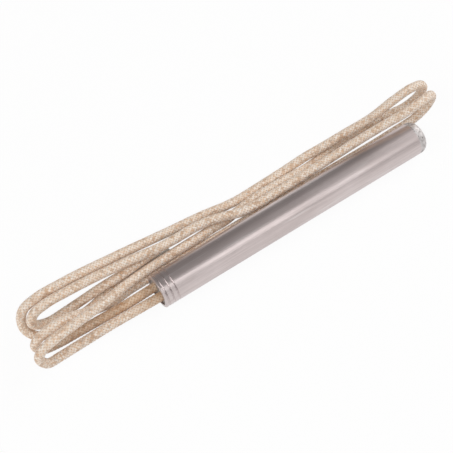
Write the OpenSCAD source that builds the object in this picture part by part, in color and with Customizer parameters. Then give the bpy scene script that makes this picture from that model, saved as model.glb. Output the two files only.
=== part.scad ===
// Cartridge heater: a round metal sheath with a wound ceramic core inside and two braided leads.
// It lies along X on the plane z = 0, lead end at -X and welded tip at +X.

/* [Sheath] */
// Outside diameter of the sheath
sheath_d = 6.5; // [6:0.1:8]
// Length from the lead end to the tip
heater_len = 60; // [50:1:120]
// Wall of the sheath tube
sheath_wall = 0.6; // [0.4:0.05:0.8]
// Bevel on the outer rim of the lead end
rim_bevel = 0.15; // [0.05:0.05:0.3]
// Number of rings rolled into the sheath near the lead end
ring_count = 3; // [0:1:5]
// Distance from the lead end to the first ring
ring_first = 0.65; // [0.5:0.05:1.5]
// Distance from one ring to the next
ring_pitch = 1.05; // [0.6:0.05:2]
// Width of one ring
ring_w = 0.3; // [0.1:0.05:0.4]

/* [Tip] */
// Length of the welded tip past the end of the tube
tip_len = 2; // [1.7:0.1:2.5]
// Radius of the rounded edge of the tip
tip_round = 1.5; // [0.4:0.1:1.6]
// Length of the end disc's spigot inside the tube
spigot_len = 2; // [1:0.1:3]
// Thickness of the insulating disc behind the tip
spacer_len = 0.9; // [0.5:0.1:2]

/* [Lead end] */
// Outside diameter of one braided lead
lead_d = 1.8; // [1.4:0.1:2]
// Distance between the two leads where they leave the sheath
lead_pitch = 2.2; // [2.1:0.1:2.4]
// Length of the two-hole seal
seal_len = 5; // [2:0.5:8]
// How far the seal sits below the rim of the sheath
seal_recess = 0.3; // [0.1:0.1:1]
// Diameter of the bare conductor in a lead
conductor_d = 0.9; // [0.6:0.05:1]
// Length of bare conductor stripped at the far end of a lead
strip_len = 4; // [2:0.5:8]

/* [Splices] */
// Length of the ceramic block round the splices
block_len = 8; // [6:0.5:12]
// Outside diameter of one splice sleeve
splice_d = 1.5; // [1.3:0.05:1.7]
// Length of conductor or pin that a splice sleeve grips
splice_grip = 3; // [1.5:0.1:3.5]
// Diameter of one terminal pin
pin_d = 0.9; // [0.6:0.05:1]
// How far the short pin reaches into the cores
short_pin_reach = 6; // [3:0.5:20]

/* [Heating element] */
// Number of ceramic cores in the stack
core_count = 5; // [2:1:10]
// Thickness of the packed powder round the winding
powder_t = 0.25; // [0.2:0.05:0.4]
// Diameter of the resistance wire
wire_d = 0.3; // [0.2:0.05:0.4]
// Turns of resistance wire on the cores
turns = 22; // [10:1:30]
// Length of bare core at each end of the winding
winding_margin = 1.2; // [0.5:0.1:3]

/* [Fits] */
// Radial clearance between pieces that slide into each other
clearance = 0.03; // [0.02:0.01:0.06]
// Gap between pieces stacked along the sheath
stack_gap = 0.05; // [0.02:0.01:0.2]

/* [Hidden] */
$fn = 64;

// Stations along the axis, from the lead end to the tip
axis_z = sheath_d / 2;
sheath_ir = sheath_d / 2 - sheath_wall;
inner_r = sheath_ir - clearance;
lead_end_x = -heater_len / 2;
tip_x = heater_len / 2;
tube_end_x = tip_x - tip_len;
seal_x = lead_end_x + seal_recess;
seal_end_x = seal_x + seal_len;
block_x = seal_end_x + stack_gap;
block_end_x = block_x + block_len;
core_x = block_end_x + stack_gap;
spigot_x = tube_end_x - spigot_len;
spacer_x = spigot_x - stack_gap - spacer_len;
core_end_x = spacer_x - stack_gap;
core_step = (core_end_x - core_x) / core_count;

// The winding is swept in straight chords, so its radius allows for their sag towards the core
wire_sides = 6;
chords_per_turn = 14;
chord_sag = cos(180 / chords_per_turn);
powder_ir = inner_r - powder_t;
winding_r = powder_ir - clearance - wire_d / 2;
core_r = winding_r * chord_sag - wire_d / 2 - clearance;
winding_start = core_x + winding_margin;
winding_end = core_end_x - winding_margin;

// Sides of a lead's tube and strands of its conductor
lead_sides = 8;
strands_round = 6;
strand_d = conductor_d / 3;
strand_overlap = 0.02;

// Route of each lead outside the sheath, chosen by hand: out along the floor, a standing fold,
// along the heater, a standing fold past the tip, back, a third fold, and the end under the hank.
route_a = [
    [-34, -0.9, 3], [-40, -0.3, 1.9], [-46, 0, 1],
    [-50.2, -0.1, 1.1], [-52.8, -0.4, 2], [-53.9, 0, 4.6], [-52.8, 0, 7.2], [-50.2, 0.1, 8.3],
    [-46, 0.8, 7.8], [-39, 2.6, 5.4], [-33, 4.4, 3.2], [-27, 5.1, 2.7], [-20, 5.4, 2.5],
    [-17, 5.5, 2.4], [-14, 5.8, 2], [-11, 6.1, 1.4], [-8, 6.6, 1.3], [-4, 6.9, 1.7], [0, 6.9, 1.9],
    [4, 6.9, 1.8], [7, 6.9, 1.5], [9, 7.1, 1.2], [12, 7.5, 1], [15, 8.1, 1], [18, 8.4, 1],
    [22, 8.5, 1], [26, 8.4, 1], [30, 8, 1], [33, 7.7, 1.1],
    [35.6, 7.6, 2.2], [36.7, 7.4, 4.6], [35.6, 7.2, 7], [33, 7.1, 8.1],
    [28.5, 7.1, 7.4], [24, 7.3, 5.4], [18, 8.1, 3.6], [14, 8.4, 2.9], [9, 8.7, 2.3],
    [4, 8.8, 1.5], [0, 8.8, 1.2], [-8, 8.8, 1], [-14, 9.4, 1.5], [-21, 9.6, 2.4], [-33, 9.7, 4.6],
    [-44, 9.1, 7.4],
    [-49, 8.7, 8.2], [-51.6, 8.8, 6.8], [-52.8, 8.5, 4.4], [-53, 7.3, 2.2], [-51.9, 5.8, 1.1],
    [-49.5, 4.7, 1], [-45, 4.7, 1], [-41, 5, 1], [-37, 6, 1], [-33, 6.5, 1], [-27, 6.9, 1]
];
route_b = [
    [-34, 1.1, 3], [-40, 1.7, 1.8], [-45.5, 2.2, 1],
    [-49.4, 2.3, 1.1], [-52.1, 2.3, 2.1], [-53.3, 2.5, 4.5], [-52.3, 2.4, 6.9], [-49.8, 2.4, 7.8],
    [-46, 2.9, 6.6], [-43, 3.2, 4.5], [-40, 3.5, 2.4], [-37, 3.8, 1.2], [-33, 4.2, 1], [-27, 4.2, 1],
    [-10, 4.2, 1], [10, 4.2, 1], [28, 4.3, 1],
    [33, 4.5, 1.1], [35.6, 4.7, 2.2], [36.7, 4.7, 4.6], [35.6, 4.3, 7], [33, 3.6, 8.1],
    [28.5, 3.4, 7.7], [24, 4, 6.6], [19, 4.5, 5.4], [14, 4.8, 4.4], [8, 4.9, 3.7], [2, 4.9, 3.3],
    [-6, 4.9, 3.3], [-8.5, 5.1, 3.4], [-11, 5.8, 3.6], [-14, 6.5, 3.9], [-17, 6.8, 4.1],
    [-22, 6.7, 4.4], [-26, 6.7, 4.8], [-30, 7.2, 5], [-34, 7.5, 5.2], [-44, 7.1, 7.5],
    [-48.2, 6.8, 8.2], [-50.7, 6.8, 7.2], [-51.7, 6.6, 5],
    [-50.9, 6.6, 3], [-48.8, 6.5, 1.8], [-46, 6.6, 1.7], [-42, 6.7, 2], [-38, 6.6, 2.8],
    [-34, 6.6, 3], [-29, 7, 2.9], [-25, 7.4, 2.9]
];

// Place a piece drawn along +Z on the heater's axis, starting at station x
module on_axis(x, side = 0) {
    translate([x, side * lead_pitch / 2, axis_z]) rotate([0, 90, 0]) children();
}

// Two bores, one for each lead, through a piece drawn along +Z
module twin_bores(d, length) {
    for (side = [-1, 1])
        translate([0, side * lead_pitch / 2, -1]) cylinder(d = d, h = length + 2);
}

// Direction of a route at point i, halfway between its two stretches
function unit(v) = v / norm(v);
function heading(p, i) =
    i == 0 ? unit(p[1] - p[0]) :
    i == len(p) - 1 ? unit(p[i] - p[i - 1]) :
    unit(unit(p[i + 1] - p[i]) + unit(p[i] - p[i - 1]));

// Side vector at each point, carried along the route without twist
function square_to(v, t) = unit(v - (v * t) * t);
function side_vectors(p, start) = [
    for (i = 0, v = square_to(start, heading(p, 0));
         i < len(p);
         i = i + 1, v = i < len(p) ? square_to(v, heading(p, i)) : v) v
];

// Tube of the given radius swept along a route
module swept_tube(route, r, sides, start_side) {
    side = side_vectors(route, start_side);
    last = len(route) - 1;
    points = [
        for (i = [0 : last], k = [0 : sides - 1])
            let (a = 360 * k / sides, across = cross(heading(route, i), side[i]))
                route[i] + r * (cos(a) * side[i] + sin(a) * across)
    ];
    walls = [
        for (i = [0 : last - 1], k = [0 : sides - 1], half = [0, 1])
            let (a = i * sides + k, b = i * sides + (k + 1) % sides)
                half == 0 ? [a, a + sides, b] : [b, a + sides, b + sides]
    ];
    ends = [
        [for (k = [0 : sides - 1]) k],
        [for (k = [sides - 1 : -1 : 0]) last * sides + k]
    ];
    polyhedron(points, concat(walls, ends), convexity = 10);
}

// Sheath: a tube open at both ends, with rolled rings and a bevelled rim at the lead end
module sheath() {
    tube_len = tube_end_x - lead_end_x;
    bevel_h = rim_bevel * 2;
    color("silver") on_axis(lead_end_x) difference() {
        cylinder(d = sheath_d, h = tube_len);
        translate([0, 0, -1]) cylinder(r = sheath_ir, h = tube_len + 2);
        for (i = [0 : 1 : ring_count - 1])
            translate([0, 0, ring_first + i * ring_pitch]) rotate_extrude()
                translate([sheath_d / 2, 0]) circle(d = ring_w, $fn = 24);
        rotate_extrude() polygon([
            [sheath_d / 2 - rim_bevel, 0], [sheath_d / 2, rim_bevel],
            [sheath_d / 2 + bevel_h, rim_bevel], [sheath_d / 2 + bevel_h, -1],
            [sheath_d / 2 - rim_bevel, -1]
        ]);
    }
}

// End disc: a spigot in the tube and a tip with a rounded edge, welded to the tube's end
module end_disc() {
    r = sheath_d / 2;
    color("darkgray") on_axis(spigot_x) {
        rotate_extrude() {
            square([inner_r, spigot_len]);
            translate([0, spigot_len]) square([r, tip_len - tip_round]);
            translate([0, spigot_len]) square([r - tip_round, tip_len]);
            intersection() {
                translate([r - tip_round, spigot_len + tip_len - tip_round]) circle(r = tip_round);
                translate([0, spigot_len]) square([r, tip_len]);
            }
        }
    }
}

// Seal: a two-hole bush that closes the lead end round the leads
module lead_seal() {
    color("lightgray") on_axis(seal_x) difference() {
        cylinder(r = inner_r, h = seal_len);
        twin_bores(lead_d + 2 * clearance, seal_len);
    }
}

// Splice block: keeps the two splices apart from each other and from the sheath
module splice_block() {
    color("ivory") on_axis(block_x) difference() {
        cylinder(r = inner_r, h = block_len);
        twin_bores(splice_d + 2 * clearance, block_len);
    }
}

// Tip spacer: insulates the last core from the end disc
module tip_spacer() {
    color("ivory") on_axis(spacer_x) cylinder(r = inner_r, h = spacer_len);
}

// Powder fill: packed magnesia between the winding and the sheath
module powder_fill() {
    fill_len = core_end_x - core_x;
    color("white") on_axis(core_x) difference() {
        cylinder(r = inner_r, h = fill_len);
        translate([0, 0, -1]) cylinder(r = powder_ir, h = fill_len + 2);
    }
}

// Resistance winding: one wire wound in a helix on the stack of cores
module resistance_winding() {
    chords = turns * chords_per_turn;
    helix = [
        for (i = [0 : chords])
            let (a = 360 * i / chords_per_turn)
                [
                    winding_start + (winding_end - winding_start) * i / chords,
                    winding_r * cos(a),
                    axis_z + winding_r * sin(a)
                ]
    ];
    color("dimgray") swept_tube(helix, wire_d / 2, wire_sides, [1, 0, 0]);
}

// One ceramic core of the stack, with a bore for each pin
module core(i) {
    core_len = core_step - stack_gap;
    color("linen") on_axis(core_x + (i - 1) * core_step) difference() {
        cylinder(r = core_r, h = core_len);
        twin_bores(pin_d + 2 * clearance, core_len);
    }
}

// Splice sleeve: crimped on a lead's conductor at one end and a pin at the other
module splice(side) {
    bore_d = max(conductor_d, pin_d) + 2 * clearance;
    color("goldenrod") on_axis(block_x, side) difference() {
        cylinder(d = splice_d, h = block_len);
        translate([0, 0, -1]) cylinder(d = bore_d, h = block_len + 2);
    }
}

// Terminal pin: from its splice to the station where it ends in the cores
module terminal_pin(side, end_x) {
    start_x = block_end_x - splice_grip;
    color("lightsteelblue") on_axis(start_x, side) cylinder(d = pin_d, h = end_x - start_x);
}

// Whole route of a lead: from the seal's inner face, out of the rim, then along its chosen points
function lead_path(side, route) = concat(
    [
        [seal_end_x, side * lead_pitch / 2, axis_z],
        [lead_end_x, side * lead_pitch / 2, axis_z]
    ],
    route
);

// Lead: a braided cord as a plain tube
module lead(side, route) {
    color("wheat") swept_tube(lead_path(side, route), lead_d / 2, lead_sides, [0, 1, 0]);
}

// Section of a stranded conductor: one strand in the middle and a ring round it
module strand_section() {
    circle(d = strand_d + strand_overlap, $fn = 24);
    for (k = [0 : strands_round - 1])
        rotate(360 * k / strands_round)
            translate([strand_d, 0])
                circle(d = strand_d + strand_overlap, $fn = 24);
}

// Conductor: the two bare ends of a lead, one in its splice and one at the far end
module conductor(side, route) {
    far_end = route[len(route) - 1];
    color("gainsboro") {
        on_axis(seal_end_x, side) cylinder(d = conductor_d, h = stack_gap + splice_grip);
        translate(far_end) rotate([0, 90, 0]) linear_extrude(strip_len) strand_section();
    }
}

sheath();
end_disc();
lead_seal();
splice_block();
tip_spacer();
powder_fill();
resistance_winding();
for (i = [1 : core_count])
    core(i);
splice(-1);  // splice_a
splice(1);  // splice_b
terminal_pin(-1, core_x + short_pin_reach);  // terminal_pin_a
terminal_pin(1, core_end_x - winding_margin);  // terminal_pin_b
lead(-1, route_a);  // lead_a
lead(1, route_b);  // lead_b
conductor(-1, route_a);  // conductor_a
conductor(1, route_b);  // conductor_b
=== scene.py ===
"""Looks of a cartridge heater with braided leads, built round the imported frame."""

import math

import bpy
import numpy as np
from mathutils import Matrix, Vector


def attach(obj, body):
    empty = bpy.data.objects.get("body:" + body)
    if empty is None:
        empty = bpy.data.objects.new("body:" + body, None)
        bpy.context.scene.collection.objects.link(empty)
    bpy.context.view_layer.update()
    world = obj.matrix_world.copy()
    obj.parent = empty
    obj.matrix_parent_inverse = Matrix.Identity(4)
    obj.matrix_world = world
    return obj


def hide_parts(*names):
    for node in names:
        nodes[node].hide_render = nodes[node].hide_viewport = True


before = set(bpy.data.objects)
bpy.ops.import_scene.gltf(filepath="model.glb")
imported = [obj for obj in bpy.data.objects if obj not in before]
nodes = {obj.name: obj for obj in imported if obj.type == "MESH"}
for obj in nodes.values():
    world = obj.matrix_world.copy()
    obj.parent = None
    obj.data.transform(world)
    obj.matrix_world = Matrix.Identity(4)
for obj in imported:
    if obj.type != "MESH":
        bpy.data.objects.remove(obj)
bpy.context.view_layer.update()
scene = bpy.context.scene
scene.view_settings.view_transform = "Standard"
MM = 0.001

# Camera, fitted to the photo's view of the heater
camera_aim = Vector((-11.16, 5.6, 0)) * MM
camera_azimuth = math.radians(-34.2)
camera_elevation = math.radians(61)
camera_distance = 211 * MM
camera_angle = math.radians(22.83)
camera_sensor = 36
camera_nearest = 0.01
camera_farthest = 20

camera_data = bpy.data.cameras.new("camera")
camera_data.sensor_width = camera_sensor
camera_data.lens = camera_sensor / 2 / math.tan(camera_angle / 2)
camera_data.clip_start = camera_nearest
camera_data.clip_end = camera_farthest
camera = bpy.data.objects.new("camera", camera_data)
camera_back = Vector((
    math.sin(camera_azimuth) * math.cos(camera_elevation),
    -math.cos(camera_azimuth) * math.cos(camera_elevation),
    math.sin(camera_elevation),
))
camera.location = camera_aim + camera_back * camera_distance
camera.rotation_mode = "QUATERNION"
camera.rotation_quaternion = (-camera_back).to_track_quat("-Z", "Y")
scene.collection.objects.link(camera)
scene.camera = camera

# Leads: their sizes and their routes in millimetres, from the seal's inner face to the far end
lead_r = 0.9
lead_floor_gap = 0.04
lead_inner_x = -24.7
lead_exit_x = -30
lead_side = 1.1
axis_z = 3.25
lead_start = {
    "lead_a": [(lead_inner_x, -lead_side, axis_z), (lead_exit_x, -lead_side, axis_z)],
    "lead_b": [(lead_inner_x, lead_side, axis_z), (lead_exit_x, lead_side, axis_z)],
}
lead_route = {
    "lead_a": [
        (-34, -0.9, 3), (-40, -0.3, 1.9), (-46, 0, 1),
        (-50.2, -0.1, 1.1), (-52.8, -0.4, 2), (-53.9, 0, 4.6), (-52.8, 0, 7.2), (-50.2, 0.1, 8.3),
        (-46, 0.8, 7.8), (-39, 2.6, 5.4), (-33, 4.4, 3.2), (-27, 5.1, 2.7), (-20, 5.4, 2.5),
        (-17, 5.5, 2.4), (-14, 5.8, 2), (-11, 6.1, 1.4), (-8, 6.6, 1.3), (-4, 6.9, 1.7), (0, 6.9, 1.9),
        (4, 6.9, 1.8), (7, 6.9, 1.5), (9, 7.1, 1.2), (12, 7.5, 1), (15, 8.1, 1), (18, 8.4, 1),
        (22, 8.5, 1), (26, 8.4, 1), (30, 8, 1), (33, 7.7, 1.1),
        (35.6, 7.6, 2.2), (36.7, 7.4, 4.6), (35.6, 7.2, 7), (33, 7.1, 8.1),
        (28.5, 7.1, 7.4), (24, 7.3, 5.4), (18, 8.1, 3.6), (14, 8.4, 2.9), (9, 8.7, 2.3),
        (4, 8.8, 1.5), (0, 8.8, 1.2), (-8, 8.8, 1), (-14, 9.4, 1.5), (-21, 9.6, 2.4), (-33, 9.7, 4.6),
        (-44, 9.1, 7.4),
        (-49, 8.7, 8.2), (-51.6, 8.8, 6.8), (-52.8, 8.5, 4.4), (-53, 7.3, 2.2), (-51.9, 5.8, 1.1),
        (-49.5, 4.7, 1), (-45, 4.7, 1), (-41, 5, 1), (-37, 6, 1), (-33, 6.5, 1), (-27, 6.9, 1),
    ],
    "lead_b": [
        (-34, 1.1, 3), (-40, 1.7, 1.8), (-45.5, 2.2, 1),
        (-49.4, 2.3, 1.1), (-52.1, 2.3, 2.1), (-53.3, 2.5, 4.5), (-52.3, 2.4, 6.9), (-49.8, 2.4, 7.8),
        (-46, 2.9, 6.6), (-43, 3.2, 4.5), (-40, 3.5, 2.4), (-37, 3.8, 1.2), (-33, 4.2, 1), (-27, 4.2, 1),
        (-10, 4.2, 1), (10, 4.2, 1), (28, 4.3, 1),
        (33, 4.5, 1.1), (35.6, 4.7, 2.2), (36.7, 4.7, 4.6), (35.6, 4.3, 7), (33, 3.6, 8.1),
        (28.5, 3.4, 7.7), (24, 4, 6.6), (19, 4.5, 5.4), (14, 4.8, 4.4), (8, 4.9, 3.7), (2, 4.9, 3.3),
        (-6, 4.9, 3.3), (-8.5, 5.1, 3.4), (-11, 5.8, 3.6), (-14, 6.5, 3.9), (-17, 6.8, 4.1),
        (-22, 6.7, 4.4), (-26, 6.7, 4.8), (-30, 7.2, 5), (-34, 7.5, 5.2), (-44, 7.1, 7.5),
        (-48.2, 6.8, 8.2), (-50.7, 6.8, 7.2), (-51.7, 6.6, 5),
        (-50.9, 6.6, 3), (-48.8, 6.5, 1.8), (-46, 6.6, 1.7), (-42, 6.7, 2), (-38, 6.6, 2.8),
        (-34, 6.6, 3), (-29, 7, 2.9), (-25, 7.4, 2.9),
    ],
}

# Braid: yarns each way round a lead, length of one turn, heights of a yarn's crown and weave, and its tones
braid_yarns = 8
braid_lay = 5.4
yarn_crown = 0.06
yarn_weave = 0.03
yarn_roundness = 0.96
tone_rows = 97
tone_seed = {"lead_a": 7, "lead_b": 11}

# Mesh of a lead: points on each leg of its curve, step between rings, sides of a ring, shade of its caps
leg_points = 80
ring_step = 0.125
ring_sides = 48
cap_shade = 0.2

# Painted shade that browns each lead's first stretch out of the seal: where it starts to fade, and where it
# ends
seal_shade_reach = {"lead_a": (6, 13), "lead_b": (14, 32)}


def smooth_line(points, step):
    """Points a step apart on a smooth curve through the route's points, kept clear of the floor."""
    knots = np.array(points, float)
    gap = np.linalg.norm(np.diff(knots, axis=0), axis=1)
    slope = np.diff(knots, axis=0) / gap[:, None]
    tangent = np.empty_like(knots)
    tangent[0] = slope[0]
    tangent[-1] = slope[-1]
    weight = (gap[:-1] + gap[1:])[:, None]
    tangent[1:-1] = (slope[:-1] * gap[1:, None] + slope[1:] * gap[:-1, None]) / weight
    part = np.linspace(0, 1, leg_points, endpoint=False)[:, None]
    legs = []
    for leg in range(len(gap)):
        legs.append(
            (2 * part**3 - 3 * part**2 + 1) * knots[leg]
            + (part**3 - 2 * part**2 + part) * gap[leg] * tangent[leg]
            + (3 * part**2 - 2 * part**3) * knots[leg + 1]
            + (part**3 - part**2) * gap[leg] * tangent[leg + 1]
        )
    fine = np.vstack(legs + [knots[-1:]])
    fine[:, 2] = np.maximum(fine[:, 2], lead_r + lead_floor_gap)
    along = np.r_[0, np.cumsum(np.linalg.norm(np.diff(fine, axis=0), axis=1))]
    stations = np.linspace(0, along[-1], int(along[-1] / step) + 1)
    line = np.stack([np.interp(stations, along, values) for values in fine.T], axis=1)
    return line, stations


def carried_sides(line, start):
    """Two vectors square to the line at each point, carried along it without twist."""
    heading = np.gradient(line, axis=0)
    heading /= np.linalg.norm(heading, axis=1)[:, None]
    side = np.empty_like(line)
    carried = np.array(start, float)
    for place, ahead in enumerate(heading):
        carried = carried - carried.dot(ahead) * ahead
        carried /= np.linalg.norm(carried)
        side[place] = carried
    return side, np.cross(heading, side)


def braid_height(turn, station, tones):
    """Height of the braid's outside over the lead's core, and the tone of the float that shows there."""
    one_way = braid_yarns * (turn + station / braid_lay)
    other_way = braid_yarns * (turn - station / braid_lay)
    one = np.round(one_way)
    other = np.round(other_way)
    sign_one = 1 - 2 * (one % 2)
    sign_other = 1 - 2 * (other % 2)
    crown_one = np.sqrt(np.maximum(0, 1 - yarn_roundness * (2 * (one_way - one)) ** 2))
    crown_other = np.sqrt(np.maximum(0, 1 - yarn_roundness * (2 * (other_way - other)) ** 2))
    height_one = yarn_weave * np.cos(math.pi * other_way) * sign_one + yarn_crown * crown_one
    height_other = -yarn_weave * np.cos(math.pi * one_way) * sign_other + yarn_crown * crown_other
    over = height_one > height_other
    height = np.where(over, height_one, height_other)
    along = (one - other).astype(int) % tones.shape[0]
    round_it = (one + other).astype(int) % tones.shape[1]
    return height, tones[along, round_it]


def lead_mesh(name):
    """A braided lead as one closed tube with its yarns raised, and the line that it follows."""
    line, station = smooth_line(lead_start[name] + lead_route[name], ring_step)
    side, across = carried_sides(line, (0, 1, 0))
    rings = len(line)
    turn = np.arange(ring_sides) / ring_sides
    turn_grid, station_grid = np.meshgrid(turn, station)
    tones = np.random.default_rng(tone_seed[name]).uniform(0, 1, (tone_rows, 2 * braid_yarns))
    height, tone = braid_height(turn_grid, station_grid, tones)
    radius = lead_r - yarn_crown - yarn_weave + height
    angle = 2 * math.pi * turn_grid[..., None]
    outward = np.cos(angle) * side[:, None] + np.sin(angle) * across[:, None]
    points = (line[:, None] + radius[..., None] * outward).reshape(-1, 3)
    points = np.vstack([points, line[:1], line[-1:]]) * MM

    ring = np.arange(rings - 1)[:, None] * ring_sides
    here = np.arange(ring_sides)[None]
    after = (here + 1) % ring_sides
    next_ring = ring + ring_sides
    quads = np.stack([ring + here, next_ring + here, next_ring + after, ring + after], axis=-1)
    faces = quads.reshape(-1, 4).tolist()
    first_cap = rings * ring_sides
    last_cap = first_cap + 1
    last_ring = (rings - 1) * ring_sides
    for corner in range(ring_sides):
        following = (corner + 1) % ring_sides
        faces.append([first_cap, corner, following])
        faces.append([last_cap, last_ring + following, last_ring + corner])

    mesh = bpy.data.meshes.new(name + "_braid")
    mesh.from_pydata(points.tolist(), [], faces)
    mesh.polygons.foreach_set("use_smooth", np.ones(len(faces), bool))
    # Relief runs from 0 in the crevices to 1 on the crowns; the braid colours it as painted shade and
    # painted highlight
    lowest = height.min()
    relief = (height - lowest) / (height.max() - lowest)
    # Painted shade near the seal: full up to the fade's start, none past its end
    fade_start, fade_end = seal_shade_reach[name]
    seal_shade = np.clip((fade_end - station_grid) / (fade_end - fade_start), 0, 1)
    for label, values, at_caps in (
        ("relief", relief, cap_shade), ("float_tone", tone, cap_shade), ("seal_shade", seal_shade, 0),
    ):
        attribute = mesh.attributes.new(label, "FLOAT", "POINT")
        attribute.data.foreach_set("value", np.r_[values.ravel(), at_caps, at_caps].astype(np.float32))
    mesh.update()
    return mesh, line * MM


# Materials

# Nearly all of a noise lies between these values
noise_low = 0.3
noise_high = 0.7

# The roughness of a plain material varies this much either way
gloss_range = 0.08

# Sockets of a Mix node for colours, by number because their names repeat
mix_factor = 0
mix_first = 6
mix_second = 7
mix_result = 2


class Shader:
    """A material with its nodes at hand."""

    def __init__(self, name):
        self.material = bpy.data.materials.new(name)
        self.material.use_nodes = True
        self.tree = self.material.node_tree
        self.surface = self.tree.nodes["Principled BSDF"]

    def node(self, kind, **inputs):
        """A new node with some inputs set, where an underscore stands for a space in an input's name."""
        made = self.tree.nodes.new("ShaderNode" + kind)
        for key, value in inputs.items():
            made.inputs[key.replace("_", " ")].default_value = value
        return made

    def link(self, out, socket):
        self.tree.links.new(out, socket)

    def set(self, socket, value):
        self.surface.inputs[socket].default_value = value

    def feed(self, socket, source):
        """Let a source drive an input of the surface."""
        self.link(source, self.surface.inputs[socket])

    def attribute(self, name):
        made = self.node("Attribute")
        made.attribute_name = name
        return made.outputs["Fac"]

    def ramp(self, source, stops):
        made = self.node("ValToRGB")
        elements = made.color_ramp.elements
        while len(elements) < len(stops):
            elements.new(0.5)
        for element, (place, colour) in zip(elements, stops):
            element.position = place
            element.color = (*colour, 1)
        self.link(source, made.inputs["Fac"])
        return made.outputs["Color"]

    def share(self, source, start, full, most):
        """A share that rises from nothing to the most between two values of the source."""
        return self.ramp(source, [(start, (0, 0, 0)), (full, (most, most, most))])

    def scaled_place(self, stretch=(1, 1, 1)):
        place = self.node("TexCoord")
        mapping = self.node("Mapping", Scale=stretch)
        self.link(place.outputs["Object"], mapping.inputs["Vector"])
        return mapping.outputs["Vector"]

    def noise(self, place, scale, detail=4):
        made = self.node("TexNoise", Scale=scale, Detail=detail)
        self.link(place, made.inputs["Vector"])
        return made.outputs["Fac"]

    def spread(self, source, low, high):
        """A noise's usual range spread from low to high."""
        made = self.node("MapRange", From_Min=noise_low, From_Max=noise_high, To_Min=low, To_Max=high)
        self.link(source, made.inputs["Value"])
        return made.outputs["Result"]

    def mix(self, factor, first, second, mode="MIX"):
        made = self.tree.nodes.new("ShaderNodeMix")
        made.data_type = "RGBA"
        made.blend_type = mode
        for number, value in ((mix_factor, factor), (mix_first, first), (mix_second, second)):
            socket = made.inputs[number]
            if isinstance(value, bpy.types.NodeSocket):
                self.link(value, socket)
            elif isinstance(value, tuple):
                socket.default_value = (*value, 1)
            else:
                socket.default_value = value
        return made.outputs[mix_result]

    def bump(self, source, distance, strength=1.0):
        made = self.node("Bump", Strength=strength, Distance=distance)
        self.link(source, made.inputs["Height"])
        self.feed("Normal", made.outputs["Normal"])


def mottled(name, light, dark, scale, roughness, metallic=0.0, bump=0.0, stretch=(1, 1, 1)):
    """A plain material whose colour, gloss and surface vary with one noise."""
    shader = Shader(name)
    place = shader.scaled_place(stretch)
    grain = shader.noise(place, scale)
    shader.feed("Base Color", shader.ramp(grain, [(noise_low, dark), (noise_high, light)]))
    shader.feed("Roughness", shader.spread(grain, roughness + gloss_range, roughness - gloss_range))
    shader.set("Metallic", metallic)
    if bump:
        shader.bump(grain, bump)
    return shader.material


def braid_material():
    """Cream glass-fibre yarns with tan and grey flecks, with painted shade brown in the crevices and along
    the first stretch out of the seal, and a painted highlight on the crowns.
    """
    shader = Shader("glass_fibre_braid")
    # Painted shade and highlight: the yarns' relief sets the colour, brown in the crevices and palest on
    # the crowns
    colour = shader.ramp(shader.attribute("relief"), [
        (0.0, (0.24, 0.11, 0.05)), (0.35, (0.64, 0.44, 0.30)),
        (0.65, (0.93, 0.81, 0.69)), (1.0, (1.0, 0.95, 0.88)),
    ])
    float_tint = shader.ramp(shader.attribute("float_tone"), [
        (0.0, (0.64, 0.50, 0.40)), (0.3, (0.92, 0.86, 0.80)), (1.0, (1.0, 1.0, 1.0)),
    ])
    colour = shader.mix(1.0, colour, float_tint, "MULTIPLY")
    place = shader.scaled_place()
    tan_fleck = shader.share(shader.noise(place, scale=2400, detail=3), start=0.52, full=0.66, most=0.7)
    colour = shader.mix(tan_fleck, colour, (0.76, 0.48, 0.28))
    grey_fleck = shader.share(shader.noise(place, scale=2900, detail=3), start=0.56, full=0.68, most=0.6)
    colour = shader.mix(grey_fleck, colour, (0.47, 0.45, 0.42))
    # Painted shade: the first stretch out of the seal is multiplied browner
    colour = shader.mix(shader.attribute("seal_shade"), colour, (0.80, 0.69, 0.58), "MULTIPLY")
    shader.feed("Base Color", colour)
    fibre = shader.noise(place, scale=9000, detail=3)
    shader.feed("Roughness", shader.spread(fibre, low=0.66, high=0.46))
    shader.set("Specular IOR Level", 0.4)
    shader.set("Sheen Weight", 0.15)
    shader.bump(fibre, distance=0.00002, strength=0.6)
    return shader.material


def sheath_material():
    """Satin stainless tube: fine lines along it, a few longer scuffs and a faint cloudy tint."""
    shader = Shader("satin_stainless")
    lines = shader.noise(shader.scaled_place((0.02, 1, 1)), scale=5200, detail=5)
    scuffs = shader.noise(shader.scaled_place((0.06, 1, 1)), scale=1500, detail=3)
    cloud = shader.noise(shader.scaled_place((0.5, 1, 1)), scale=160, detail=3)
    base = shader.ramp(cloud, [(noise_low, (0.62, 0.54, 0.525)), (noise_high, (0.73, 0.65, 0.64))])
    worn = shader.share(scuffs, start=0.60, full=0.72, most=0.45)
    base = shader.mix(worn, base, (0.86, 0.81, 0.80))
    fine = shader.ramp(lines, [(0.35, (0.9, 0.9, 0.9)), (0.65, (1, 1, 1))])
    base = shader.mix(1.0, base, fine, "MULTIPLY")
    shader.feed("Base Color", base)
    shader.feed("Roughness", shader.spread(lines, low=0.40, high=0.30))
    shader.set("Metallic", 1.0)
    shader.bump(lines, distance=0.00001, strength=0.45)
    return shader.material


def weld_material():
    """Welded tip: pale rough metal with a few dark pits."""
    shader = Shader("weld_metal")
    place = shader.scaled_place()
    grain = shader.noise(place, scale=1500, detail=4)
    pits = shader.noise(place, scale=2300, detail=2)
    base = shader.ramp(grain, [(0.35, (0.50, 0.47, 0.46)), (0.65, (0.74, 0.71, 0.70))])
    pit_share = shader.share(pits, start=0.56, full=0.66, most=0.75)
    base = shader.mix(pit_share, base, (0.2, 0.18, 0.17))
    shader.feed("Base Color", base)
    shader.feed("Roughness", shader.spread(grain, low=0.62, high=0.46))
    shader.set("Metallic", 0.8)
    shader.bump(grain, distance=0.00005)
    return shader.material


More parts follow.
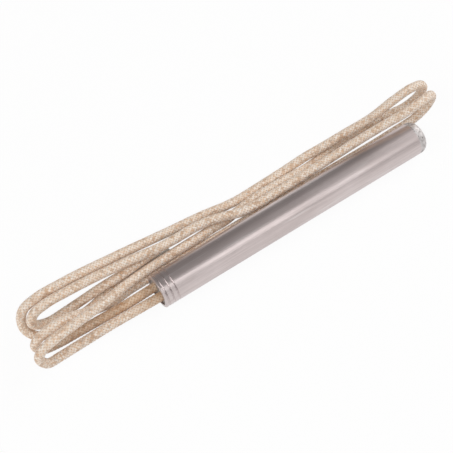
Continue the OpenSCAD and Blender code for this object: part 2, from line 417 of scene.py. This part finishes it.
steel = sheath_material()
weld = weld_material()
seal = mottled(
    "seal_cement", light=(0.46, 0.43, 0.40), dark=(0.26, 0.24, 0.22),
    scale=1800, roughness=0.8, bump=0.00005,
)
ceramic = mottled(
    "dense_ceramic", light=(0.86, 0.83, 0.76), dark=(0.78, 0.74, 0.66),
    scale=900, roughness=0.55, bump=0.00001,
)
magnesia = mottled(
    "pressed_magnesia", light=(0.84, 0.82, 0.79), dark=(0.72, 0.70, 0.67),
    scale=2400, roughness=0.85, bump=0.00003,
)
wire = mottled(
    "resistance_wire", light=(0.36, 0.34, 0.32), dark=(0.22, 0.20, 0.19),
    scale=3000, roughness=0.4, metallic=1.0, bump=0.000005,
)
crimp = mottled(
    "crimp_metal", light=(0.74, 0.62, 0.38), dark=(0.58, 0.46, 0.26),
    scale=1500, roughness=0.35, metallic=1.0, bump=0.00001,
)
pin = mottled(
    "pin_metal", light=(0.62, 0.61, 0.59), dark=(0.48, 0.47, 0.45),
    scale=2500, roughness=0.33, metallic=1.0, bump=0.000004, stretch=(0.05, 1, 1),
)
strand = mottled(
    "plated_strand", light=(0.72, 0.69, 0.64), dark=(0.54, 0.50, 0.45),
    scale=4000, roughness=0.3, metallic=1.0, bump=0.000008, stretch=(0.1, 1, 1),
)
braid = braid_material()

material_of = {
    "sheath": steel, "end_disc": weld, "lead_seal": seal, "splice_block": ceramic, "tip_spacer": ceramic,
    "powder_fill": magnesia, "resistance_winding": wire, "splice_a": crimp, "splice_b": crimp,
    "terminal_pin_a": pin, "terminal_pin_b": pin, "conductor_a": strand, "conductor_b": strand,
}

# Each solid takes its material, the cores that of the magnesia, and the leads get theirs below
for name, node in nodes.items():
    if name.startswith("lead_") and name != "lead_seal":
        continue
    node.data.materials.clear()
    node.data.materials.append(material_of.get(name, magnesia))

# Leads in place of their plain solids
for name, end_node in (("lead_a", "conductor_a"), ("lead_b", "conductor_b")):
    mesh, line = lead_mesh(name)
    mesh.materials.append(braid)
    lead = bpy.data.objects.new(name + "_braid", mesh)
    scene.collection.objects.link(lead)
    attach(lead, "root")
    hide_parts(name)

# Floor: white paper that keeps the shadow, with the share of plain white that each kind of ray sees
floor_reach = 3
white_parts = (("Is Camera Ray", 0.94), ("Is Transmission Ray", 0.94), ("Is Glossy Ray", 0.6))
floor_corners = [(x * floor_reach, y * floor_reach, 0) for x, y in ((-1, -1), (1, -1), (1, 1), (-1, 1))]
floor_mesh = bpy.data.meshes.new("floor")
floor_mesh.from_pydata(floor_corners, [], [(0, 1, 2, 3)])
floor = bpy.data.objects.new("floor", floor_mesh)
scene.collection.objects.link(floor)
paper = Shader("white_paper")
paper.set("Base Color", (0.93, 0.93, 0.93, 1))
paper.set("Roughness", 0.9)
paper.set("Specular IOR Level", 0.1)
glow = paper.node("Emission", Strength=1.0)
rays = paper.node("LightPath")
blend = paper.node("MixShader")
white_share = None
for ray, part in white_parts:
    scaled = paper.node("Math")
    scaled.operation = "MULTIPLY"
    scaled.inputs[1].default_value = part
    paper.link(rays.outputs[ray], scaled.inputs[0])
    if white_share is None:
        white_share = scaled.outputs[0]
        continue
    either = paper.node("Math")
    either.operation = "MAXIMUM"
    paper.link(white_share, either.inputs[0])
    paper.link(scaled.outputs[0], either.inputs[1])
    white_share = either.outputs[0]
paper.link(white_share, blend.inputs[0])
paper.link(paper.surface.outputs[0], blend.inputs[1])
paper.link(glow.outputs[0], blend.inputs[2])
paper.link(blend.outputs[0], paper.tree.nodes["Material Output"].inputs["Surface"])
floor_mesh.materials.append(paper.material)

# Light: a dim room, and soft boxes that are all equally far from the heater
box_distance = 0.6
world = bpy.data.worlds.new("room")
world.use_nodes = True
room = world.node_tree.nodes["Background"]
room.inputs["Color"].default_value = (1.0, 0.96, 0.95, 1)
room.inputs["Strength"].default_value = 0.25
scene.world = world


def soft_box(name, direction, width, height, radiance):
    """A soft box that faces the heater from a direction, with its brightness as seen from there."""
    light = bpy.data.lights.new(name, "AREA")
    light.shape = "RECTANGLE"
    light.size = width
    light.size_y = height
    light.energy = radiance * math.pi * width * height
    box = bpy.data.objects.new(name, light)
    away = Vector(direction).normalized()
    box.location = away * box_distance
    box.rotation_mode = "QUATERNION"
    box.rotation_quaternion = (-away).to_track_quat("-Z", "X")
    scene.collection.objects.link(box)


soft_box("left_box", (-0.75, -0.1, 0.65), width=0.4, height=0.4, radiance=3.6)
soft_box("right_box", (0.85, 0.1, 0.55), width=0.4, height=0.4, radiance=3.6)
soft_box("front_strip", (0.27, -0.54, 0.8), width=0.35, height=0.24, radiance=1.5)
soft_box("front_panel", (0.27, -0.94, 0.22), width=0.4, height=0.3, radiance=0.8)
